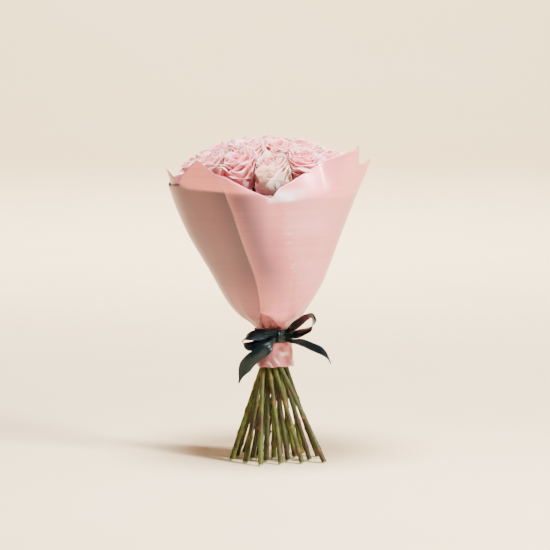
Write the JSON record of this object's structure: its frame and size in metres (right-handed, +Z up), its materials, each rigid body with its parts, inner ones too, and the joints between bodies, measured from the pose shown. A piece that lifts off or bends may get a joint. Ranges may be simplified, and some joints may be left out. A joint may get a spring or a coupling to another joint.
{
  "type": "tied bunch of roses",
  "caption": "Hand-tied bunch of long-stemmed pink roses standing on its splayed cut stems, in two sheets of translucent pearl wrap with pointed corners and a dark satin ribbon bow.",
  "frame": {"origin": "on the floor under the middle of the bunch, at the bottom centre of its box", "axes": "+Z up along the bunch from its cut stems to its blooms, -Y towards the viewer, the open V and the bow, +X to the viewer's right"},
  "size_m": [0.3042, 0.2922, 0.4848],
  "materials": {
    "rose_petal": "matte rose petals, creamy blush outside and deeper pink at the heart",
    "rose_stem": "satin green plant stems, hips and sepals",
    "pearl_wrap": "thin translucent pearl pink film with a soft sheen",
    "satin_ribbon": "near-black teal satin",
    "twine": "rough natural twine"
  },
  "bodies": {
    "root": {"bloom_01": "rose_petal", "bloom_02": "rose_petal", "bloom_03": "rose_petal", "bloom_04": "rose_petal", "bloom_05": "rose_petal", "bloom_06": "rose_petal", "bloom_07": "rose_petal", "bloom_08": "rose_petal", "bloom_09": "rose_petal", "bloom_10": "rose_petal", "bloom_11": "rose_petal", "bloom_12": "rose_petal", "bloom_13": "rose_petal", "bloom_14": "rose_petal", "bloom_15": "rose_petal", "bloom_16": "rose_petal", "bloom_17": "rose_petal", "bloom_18": "rose_petal", "bloom_19": "rose_petal", "bloom_20": "rose_petal", "stem_01": "rose_stem", "stem_02": "rose_stem", "stem_03": "rose_stem", "stem_04": "rose_stem", "stem_05": "rose_stem", "stem_06": "rose_stem", "stem_07": "rose_stem", "stem_08": "rose_stem", "stem_09": "rose_stem", "stem_10": "rose_stem", "stem_11": "rose_stem", "stem_12": "rose_stem", "stem_13": "rose_stem", "stem_14": "rose_stem", "stem_15": "rose_stem", "stem_16": "rose_stem", "stem_17": "rose_stem", "stem_18": "rose_stem", "stem_19": "rose_stem", "stem_20": "rose_stem", "wrap_outer": "pearl_wrap", "wrap_inner": "pearl_wrap", "binding_tie": "twine", "ribbon_band": "satin_ribbon", "ribbon_knot": "satin_ribbon", "ribbon_loop_left": "satin_ribbon", "ribbon_loop_right": "satin_ribbon", "ribbon_tail_left": "satin_ribbon", "ribbon_tail_right": "satin_ribbon"}
  },
  "joints": []
}
